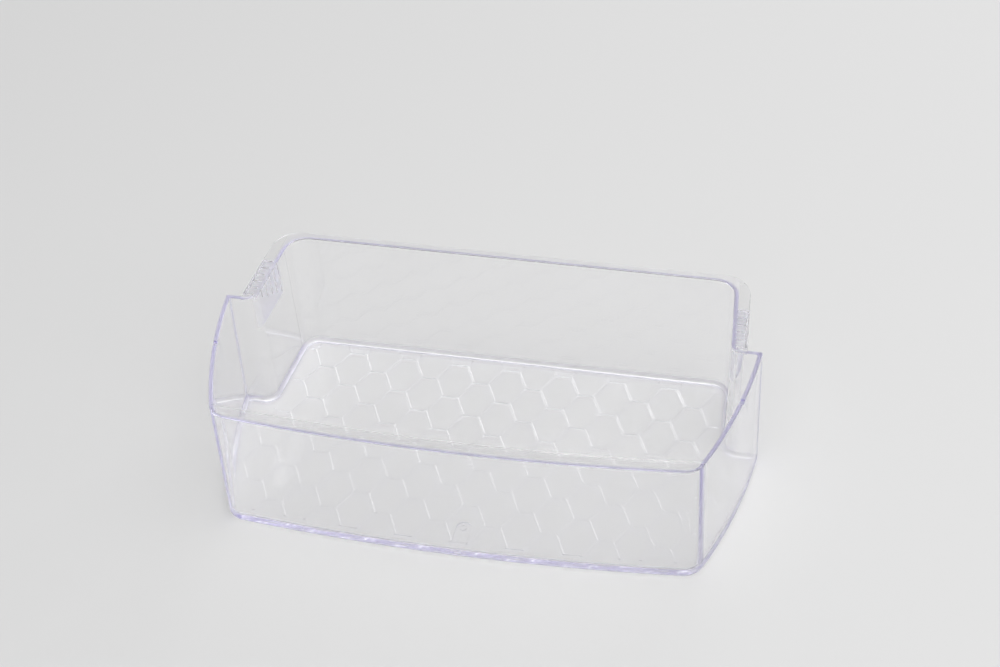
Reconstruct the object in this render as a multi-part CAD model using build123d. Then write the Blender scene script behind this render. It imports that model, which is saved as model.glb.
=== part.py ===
from build123d import *
import math
import os

# A clear moulded door shelf: a straight tray at the back that sits between the door's sides,
# and a wider bulge in front that bows out past them. Width is X, the front is -Y, up is +Z.
# The origin is under the middle of the shelf, on the surface that it stands on.

# Overall sizes
shelf_width = 400.0
shelf_depth = 215.0
shelf_height = 105.0
wall = 3.0
floor_thickness = 3.0
floor_fillet = 4.0
bottom_edge_radius = 1.2
rim_bevel = 0.5

# The bulge, seen in plan at the rim: its front corners are tighter inside than outside
bulge_depth = 135.6
bulge_draw_in = 27.5
bulge_front_bow = 9.0
bulge_side_bow = 5.2
bulge_corner_radius = 16.5
bulge_inner_radius = 10.0
bulge_draft = 0.45
shoulder_edge_radius = 1.0

# The tray behind it, seen in plan at the rim
shoulder_step = 19.6
tray_draw_in = 7.0
tray_corner_radius = 19.0
tray_draft = 2.1
shoulder_blend_radius = 8.0

# The turned-in lip along the front wall and the turned-out flange round the tray
lip_width = 11.0
lip_thickness = 2.5
lip_corner_radius = 2.0
flange_side = 8.3
flange_back = 3.0
flange_corner_radius = 20.5
flange_thickness = 2.5

# The hanging lugs under the flange, one on each side of the tray, wedges that deepen backwards
lug_length = 40.5
lug_front_height = 4.0
lug_back_height = 31.0
lug_gap_to_shoulder = 3.4
lug_skin = 2.0
lug_rib = 1.6
lug_cells = 5

# Small marks from the mould: a notch in each side's rim, and the gate under the floor
notch_length = 6.0
notch_depth = 2.0
notch_from_shoulder = 53.1
gate_width = 11.0
gate_length = 28.0
gate_depth = 0.6
gate_from_front = 6.0
gate_nub_radius = 2.4
gate_nub_height = 0.4

# The raised honeycomb on the floor
cell_pitch_x = 20.6
cell_pitch_y = 36.3
cell_flat = 11.7
honeycomb_y = -3.6
honeycomb_margin = 9.0
honeycomb_corner_radius = 3.0
ridge_width = 0.6
ridge_height = 0.4
ridge_slope = 66.0

# Lines that several features share
front_y = -shelf_depth / 2
back_y = shelf_depth / 2
shoulder_y = front_y + bulge_depth
tray_back_y = back_y - flange_back
run_in = 30.0
bulge_front_half = shelf_width / 2 - bulge_draw_in
tray_front_half = shelf_width / 2 - shoulder_step
tray_back_half = tray_front_half - tray_draw_in

# The arcs of the bulge's plan: its right side draws in towards the front, and its front bows out
shoulder_corner = Vector(shelf_width / 2, shoulder_y)
front_corner = Vector(bulge_front_half, front_y + bulge_front_bow)
side_arc = SagittaArc(front_corner, shoulder_corner, -bulge_side_bow)
front_arc = ThreePointArc((-front_corner.X, front_corner.Y), (0, front_y), front_corner)


def front_disc(inset):
    """The great disc whose edge is the front's bow."""
    return Pos(*front_arc.arc_center) * Circle(front_arc.radius - inset)


def bulge_plan(inset):
    """The bulge's plan at the rim: the overlap of three great discs, cut off at the shoulders."""
    side_disc = Circle(side_arc.radius - inset)
    centre = side_arc.arc_center
    cut_off = Rectangle(shelf_width, shelf_depth, align=(Align.CENTER, Align.MAX))
    plan = front_disc(inset) & Pos(0, shoulder_y - inset) * cut_off
    return plan & Pos(centre.X, centre.Y) * side_disc & Pos(-centre.X, centre.Y) * side_disc


def tray_plan(spread, back, corner):
    """The tray's plan at the rim, spread sideways, with its sides run on into the bulge."""
    splay = tray_draw_in / (tray_back_y - shoulder_y) * run_in
    front_half = tray_front_half + splay + spread
    back_half = tray_back_half + spread
    plan = make_face(
        Polyline(
            (-front_half, shoulder_y - run_in),
            (front_half, shoulder_y - run_in),
            (back_half, back),
            (-back_half, back),
            close=True,
        )
    )
    return fillet(plan.vertices().sort_by(Axis.Y)[-2:], corner)


def drop(plan, depth, draft=0):
    """A plan at the rim carried down to the given depth, its sides drawing in by the draft."""
    return Pos(0, 0, shelf_height) * mirror(extrude(plan, amount=depth, taper=draft), about=Plane.XY)


def round_uprights(solid, x, y, radius):
    """Rounds the pair of upright edges that stand near the lines through (x, y) and (-x, y)."""
    edges = solid.edges().filter_by(
        lambda edge: edge.length > shelf_height / 2
        and abs(abs(edge.center().X) - x) < 2 * wall
        and abs(edge.center().Y - y) < 2 * wall
    )
    return fillet(edges, radius)


def basin(inset, depth, front_radius, foot_radius):
    """The bulge and the tray run together, drawn in from the outside by the inset and rounded."""
    shoulder = shoulder_y - inset
    tray = tray_plan(-inset, tray_back_y - inset, tray_corner_radius - inset)
    body = drop(bulge_plan(inset), depth, bulge_draft) + drop(tray, depth, tray_draft)
    body = round_uprights(body, front_corner.X - inset, front_corner.Y + inset, front_radius)
    body = round_uprights(body, tray_front_half - inset, shoulder, shoulder_blend_radius)
    body = round_uprights(body, shelf_width / 2 - inset, shoulder, shoulder_edge_radius)
    return fillet(body.faces().sort_by(Axis.Z)[0].edges(), foot_radius)


# The outside, and the hollow that leaves the front lip standing
outside = basin(0, shelf_height, bulge_corner_radius, bottom_edge_radius)
inside = basin(wall, shelf_height - floor_thickness, bulge_inner_radius, floor_fillet)
lip_strip = Pos(0, front_y) * Rectangle(shelf_width, bulge_depth) - front_disc(lip_width)
hollow = inside - drop(lip_strip, lip_thickness)
lip_middle = shelf_height - lip_thickness / 2
lip_reach = lip_thickness / 4
lip_ends = hollow.edges().filter_by_position(Axis.Z, lip_middle - lip_reach, lip_middle + lip_reach)
hollow = fillet(lip_ends, lip_corner_radius)

# The flange, which stops at the shoulders
flange_plan = tray_plan(flange_side, back_y, flange_corner_radius) - bulge_plan(wall / 2)
flange = drop(flange_plan, flange_thickness)

# The lugs: a stretch of the flange carried down as far as a sloping underside
lug_front_y = shoulder_y + lug_gap_to_shoulder
lug_back_y = lug_front_y + lug_length
lug_side = make_face(
    Plane.YZ
    * Polyline(
        (lug_front_y, shelf_height),
        (lug_back_y, shelf_height),
        (lug_back_y, shelf_height - lug_back_height),
        (lug_front_y, shelf_height - lug_front_height),
        close=True,
    )
)
lugs = drop(flange_plan, lug_back_height) & extrude(lug_side, shelf_width / 2, both=True)

# The lugs are hollow from below, in pockets between upright ribs
lug_y = lug_front_y + lug_length / 2
lug_pitch = (lug_length - lug_rib) / lug_cells
pocket_strip = Rectangle(shelf_width, lug_pitch - lug_rib)
pocket_strips = Sketch() + [place * pocket_strip for place in GridLocations(0, lug_pitch, 1, lug_cells)]
pocket_reach = tray_plan(flange_side - lug_skin, back_y, flange_corner_radius)
pocket_plan = pocket_reach & Pos(0, lug_y) * pocket_strips
pockets = Pos(0, 0, -flange_thickness) * drop(pocket_plan, lug_back_height) - outside

# The shelf in one piece, its rim softened all round
shelf = outside + flange + lugs - pockets - hollow
shelf = chamfer(shelf.faces().sort_by(Axis.Z)[-1].edges(), rim_bevel)

# The small round dip across each side's rim
dip_radius = (notch_length**2 / 4 + notch_depth**2) / (2 * notch_depth)
dip = Pos(0, shoulder_y - notch_from_shoulder, shelf_height - notch_depth + dip_radius)
shelf -= dip * Cylinder(dip_radius, shelf_width, rotation=(0, 90, 0))

# The gate's recess under the front of the floor, with its nub at the far end
gate_y = front_y + gate_from_front + gate_length / 2
shelf -= Pos(0, gate_y) * extrude(SlotOverall(gate_length, gate_width, rotation=90), gate_depth)
nub_y = gate_y + (gate_length - gate_width) / 2
shelf += Pos(0, nub_y, gate_depth) * Cylinder(
    gate_nub_radius, gate_nub_height, align=(Align.CENTER, Align.CENTER, Align.MAX)
)

# The honeycomb: a thin sheet on the floor, cut through by six-sided cells that widen upwards
cell_point = cell_pitch_x - cell_flat / 2
cell_plan = make_face(
    Polyline(
        (-cell_flat / 2, -cell_pitch_y / 2),
        (cell_flat / 2, -cell_pitch_y / 2),
        (cell_point, 0),
        (cell_flat / 2, cell_pitch_y / 2),
        (-cell_flat / 2, cell_pitch_y / 2),
        (-cell_point, 0),
        close=True,
    )
)
slope_in = ridge_height * math.tan(math.radians(ridge_slope))
cell_mouth = Pos(0, 0, ridge_height) * offset(cell_plan, -ridge_width / 2)
cell = loft([offset(cell_plan, -ridge_width / 2 - slope_in), cell_mouth])
honeycomb_inset = wall + honeycomb_margin
sheet_plan = bulge_plan(honeycomb_inset)
sheet_plan += tray_plan(-honeycomb_inset, tray_back_y - honeycomb_inset, honeycomb_corner_radius)
cell_columns = 2 * math.ceil(shelf_width / (4 * cell_pitch_x))
cell_rows = 2 * math.ceil(shelf_depth / (2 * cell_pitch_y))
whole_rows = GridLocations(2 * cell_pitch_x, cell_pitch_y, cell_columns + 1, cell_rows + 1)
stepped_rows = GridLocations(2 * cell_pitch_x, cell_pitch_y, cell_columns, cell_rows)
cells = [Pos(0, honeycomb_y) * place * cell for place in [*whole_rows, *stepped_rows]]
honeycomb = Pos(0, 0, floor_thickness) * (extrude(sheet_plan, ridge_height) - cells)
shelf += honeycomb

os.makedirs("parts", exist_ok=True)
export_step(shelf, "parts/door_shelf.step")
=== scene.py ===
import math

import bpy
from mathutils import Matrix, Vector

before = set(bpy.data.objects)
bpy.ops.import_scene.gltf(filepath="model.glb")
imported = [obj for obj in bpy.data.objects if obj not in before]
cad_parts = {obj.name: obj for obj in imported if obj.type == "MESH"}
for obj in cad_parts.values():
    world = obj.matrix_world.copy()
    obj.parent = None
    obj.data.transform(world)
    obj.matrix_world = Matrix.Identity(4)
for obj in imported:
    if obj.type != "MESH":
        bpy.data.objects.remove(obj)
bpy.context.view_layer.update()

# The shelf itself: one clear polystyrene moulding with polished walls. The plastic is faintly
# violet, which only shows where one looks a long way through it, along its rims and edges.
# Handling has left a cloudy change of polish on its faces, and some of its parts are finely matt.
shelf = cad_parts["door_shelf"]
bpy.ops.object.select_all(action="DESELECT")

# The plastic's colour, and how it bends light
tint = (0.45, 0.38, 0.88, 1.0)
tint_density = 2.4
light_bending = 1.57

# Roughness: the polished walls change between two values, and the matt parts have their own
polished = 0.04
handled = 0.07
rim_roughness = 0.35
ridge_roughness = 0.12
foot_roughness = 0.3
lug_roughness = 0.5

# How strongly a white sheen is painted on the floor and its rounded edge. This is painted light that
# brightens them.
floor_painted_sheen = 0.07
foot_painted_highlight = 0.4

# Heights of the floor's top and ridges, the rounded foot of the walls, the lugs and the rim
floor_under = 0.0025
ridge_foot = 0.00302
ridge_crest = 0.00345
foot_top = 0.0075
lug_bottom = 0.073
lug_top = 0.1027
rim_start = 0.1043
rim_full = 0.1046

# Places seen from above: the front wall's bow, the ends of the side walls, the back wall's inside,
# the tray's slanting sides and the lugs
bow_centre = (0.0, 1.5501, 0.105)
bow_inside = 1.6545
side_wall_front = -0.0885
side_wall_back = 0.0285
back_wall_inside = 0.1012
tray_slant = 0.0916
tray_rim = 0.183
tray_outside = 0.181
lug_front = 0.0305
lug_back = 0.073

clear_plastic = bpy.data.materials.new("clear_polystyrene")
clear_plastic.use_nodes = True
nodes = clear_plastic.node_tree.nodes
links = clear_plastic.node_tree.links
nodes.clear()


def worked(operation, first, second=0.0):
    """One sum on two values, each a number or another node's output."""
    node = nodes.new("ShaderNodeMath")
    node.operation = operation
    for socket, value in zip(node.inputs, (first, second)):
        if isinstance(value, float):
            socket.default_value = value
        else:
            links.new(value, socket)
    return node.outputs["Value"]


def eased(value, start, end):
    """A rise from nought at the start to one at the end."""
    node = nodes.new("ShaderNodeMapRange")
    node.inputs["From Min"].default_value = start
    node.inputs["From Max"].default_value = end
    links.new(value, node.inputs["Value"])
    return node.outputs["Result"]


def between(value, low, high):
    """One where the value lies between two numbers, and nought elsewhere."""
    return worked("MULTIPLY", worked("GREATER_THAN", value, low), worked("LESS_THAN", value, high))


def greatest(*values):
    """The greatest of several values."""
    top = values[0]
    for value in values[1:]:
        top = worked("MAXIMUM", top, value)
    return top


place = nodes.new("ShaderNodeTexCoord")
spot = nodes.new("ShaderNodeSeparateXYZ")
links.new(place.outputs["Object"], spot.inputs["Vector"])
across = spot.outputs["X"]
along = spot.outputs["Y"]
height = spot.outputs["Z"]
facing = nodes.new("ShaderNodeNewGeometry")
slope = nodes.new("ShaderNodeSeparateXYZ")
links.new(facing.outputs["True Normal"], slope.inputs["Vector"])
upward_face = slope.outputs["Z"]

skin = nodes.new("ShaderNodeBsdfPrincipled")
skin.inputs["Base Color"].default_value = (1.0, 1.0, 1.0, 1.0)
skin.inputs["Transmission Weight"].default_value = 1.0
skin.inputs["IOR"].default_value = light_bending
body = nodes.new("ShaderNodeVolumeAbsorption")
body.inputs["Color"].default_value = tint
body.inputs["Density"].default_value = tint_density
made = nodes.new("ShaderNodeOutputMaterial")
links.new(skin.outputs["BSDF"], made.inputs["Surface"])
links.new(body.outputs["Volume"], made.inputs["Volume"])

# Handling marks: a cloudy change of polish over the walls
clouds = nodes.new("ShaderNodeTexNoise")
clouds.inputs["Scale"].default_value = 22.0
clouds.inputs["Detail"].default_value = 5.0
links.new(place.outputs["Object"], clouds.inputs["Vector"])
polish = nodes.new("ShaderNodeMapRange")
polish.inputs["From Min"].default_value = 0.35
polish.inputs["From Max"].default_value = 0.75
polish.inputs["To Min"].default_value = polished
polish.inputs["To Max"].default_value = handled
links.new(clouds.outputs["Fac"], polish.inputs["Value"])

# The tops of the walls are finely matt, while the lip and the flange beside them stay polished
from_bow = nodes.new("ShaderNodeVectorMath")
from_bow.operation = "DISTANCE"
from_bow.inputs[1].default_value = bow_centre
links.new(place.outputs["Object"], from_bow.inputs[0])
front_top = worked("GREATER_THAN", from_bow.outputs["Value"], bow_inside)
side_top = between(along, side_wall_front, side_wall_back)
back_top = worked("GREATER_THAN", along, back_wall_inside)
tray_line = worked("ADD", worked("ABSOLUTE", across), worked("MULTIPLY", along, tray_slant))
tray_top = worked("MULTIPLY", worked("LESS_THAN", tray_line, tray_rim), worked("GREATER_THAN", along, 0.0))
wall_top = greatest(front_top, side_top, back_top, tray_top)
rim = worked("MULTIPLY", wall_top, eased(height, rim_start, rim_full))

# So are the honeycomb's ridges, the rounded foot of the walls inside, and the hanging lugs
ridge = between(height, ridge_foot, ridge_crest)
foot = between(height, ridge_crest, foot_top)
inner_foot = worked("MULTIPLY", foot, eased(upward_face, 0.03, 0.08))
lug_block = worked("MULTIPLY", between(along, lug_front, lug_back), between(height, lug_bottom, lug_top))
lug = worked("MULTIPLY", worked("GREATER_THAN", tray_line, tray_outside), lug_block)
matt = greatest(
    polish.outputs["Result"],
    worked("MULTIPLY", rim, rim_roughness),
    worked("MULTIPLY", ridge, ridge_roughness),
    worked("MULTIPLY", inner_foot, foot_roughness),
    worked("MULTIPLY", lug, lug_roughness),
)
links.new(matt, skin.inputs["Roughness"])

# Painted light: a white sheen layer brightens the floor a little, and paints a stronger highlight on its
# rounded edge
floor_top = between(height, floor_under, ridge_crest)
painted_sheen = worked("ADD", worked("MULTIPLY", floor_top, floor_painted_sheen), worked("MULTIPLY", foot, foot_painted_highlight))
links.new(worked("MULTIPLY", painted_sheen, eased(upward_face, 0.03, 0.3)), skin.inputs["Sheen Weight"])
skin.inputs["Sheen Roughness"].default_value = 1.0

shelf.data.materials.clear()
shelf.data.materials.append(clear_plastic)

# The ground: a sheet of pale matt paper, wide enough to fill every view.
# It lies a hair below the shelf's foot, so that the two faces never share a place.
paper_side = 12.0
paper_grey = (0.74, 0.74, 0.74, 1.0)
paper_drop = 0.0003
bpy.ops.mesh.primitive_plane_add(size=paper_side, location=(0.0, 0.0, 0.0))
paper = bpy.context.object
paper.name = "paper_ground"
paper_white = bpy.data.materials.new("matt_paper")
paper_white.use_nodes = True
paper_skin = paper_white.node_tree.nodes["Principled BSDF"]
paper_skin.inputs["Base Color"].default_value = paper_grey
paper_skin.inputs["Roughness"].default_value = 0.9
paper_skin.inputs["Specular IOR Level"].default_value = 0.1
paper.data.materials.append(paper_white)
paper.location.z = -paper_drop

# The light: a room that is brighter overhead than at eye level, a wide soft lamp above on the right,
# and a low window behind.
eye_level_light = 0.15
overhead_light = 0.5
room = bpy.data.worlds.new("bright_room")
bpy.context.scene.world = room
room.use_nodes = True
room_nodes = room.node_tree.nodes
room_links = room.node_tree.links
room_light = room_nodes["Background"]
room_light.inputs["Color"].default_value = (1.0, 1.0, 1.0, 1.0)
direction = room_nodes.new("ShaderNodeTexCoord")
upward = room_nodes.new("ShaderNodeSeparateXYZ")
room_links.new(direction.outputs["Generated"], upward.inputs["Vector"])
overhead = room_nodes.new("ShaderNodeMapRange")
overhead.inputs["To Min"].default_value = eye_level_light
overhead.inputs["To Max"].default_value = overhead_light
room_links.new(upward.outputs["Z"], overhead.inputs["Value"])
room_links.new(overhead.outputs["Result"], room_light.inputs["Strength"])


def soft_lamp(name, width, length, watts, spot_above, spot_lit):
    """A flat rectangular lamp, turned to face the place that it lights."""
    light = bpy.data.lights.new(name, "AREA")
    light.shape = "RECTANGLE"
    light.size = width
    light.size_y = length
    light.energy = watts
    lamp = bpy.data.objects.new(name, light)
    bpy.context.scene.collection.objects.link(lamp)
    lamp.location = spot_above
    lamp.rotation_euler = (Vector(spot_lit) - lamp.location).to_track_quat("-Z", "Y").to_euler()


soft_lamp("soft_box", 4.5, 4.5, 93.0, (1.1, -0.4, 2.7), (0.0, 1.0, 0.0))
soft_lamp("window", 1.6, 1.0, 14.0, (0.7, 2.6, 1.2), (0.0, 0.0, 0.0))

# The camera: in front and a little to the right, looking down at the shelf with a slight lean.
camera_place = (0.316587, -1.138905, 1.172733)
camera_lens = 79.8095
film_width = 36.0
pitch = math.radians(41.750)
yaw = math.radians(14.807)
roll = math.radians(-3.785)
ahead = Vector((-math.sin(yaw) * math.cos(pitch), math.cos(yaw) * math.cos(pitch), -math.sin(pitch)))
right = Vector((math.cos(yaw), math.sin(yaw), 0.0))
up = right.cross(ahead)
right_leaned = right * math.cos(roll) + up * math.sin(roll)
up_leaned = up * math.cos(roll) - right * math.sin(roll)
camera_data = bpy.data.cameras.new("camera")
camera_data.sensor_width = film_width
camera_data.lens = camera_lens
camera = bpy.data.objects.new("camera", camera_data)
bpy.context.scene.collection.objects.link(camera)
turn = Matrix((right_leaned, up_leaned, -ahead)).transposed().to_4x4()
camera.matrix_world = Matrix.Translation(camera_place) @ turn
bpy.context.scene.camera = camera
bpy.context.scene.view_settings.view_transform = "Standard"

# Light is led a long way inside the clear walls before it comes out again.
led_inside = 300
paths = bpy.context.scene.cycles
paths.max_bounces = led_inside
paths.glossy_bounces = led_inside
paths.transmission_bounces = led_inside
paths.diffuse_bounces = 6
paths.blur_glossy = 0.0
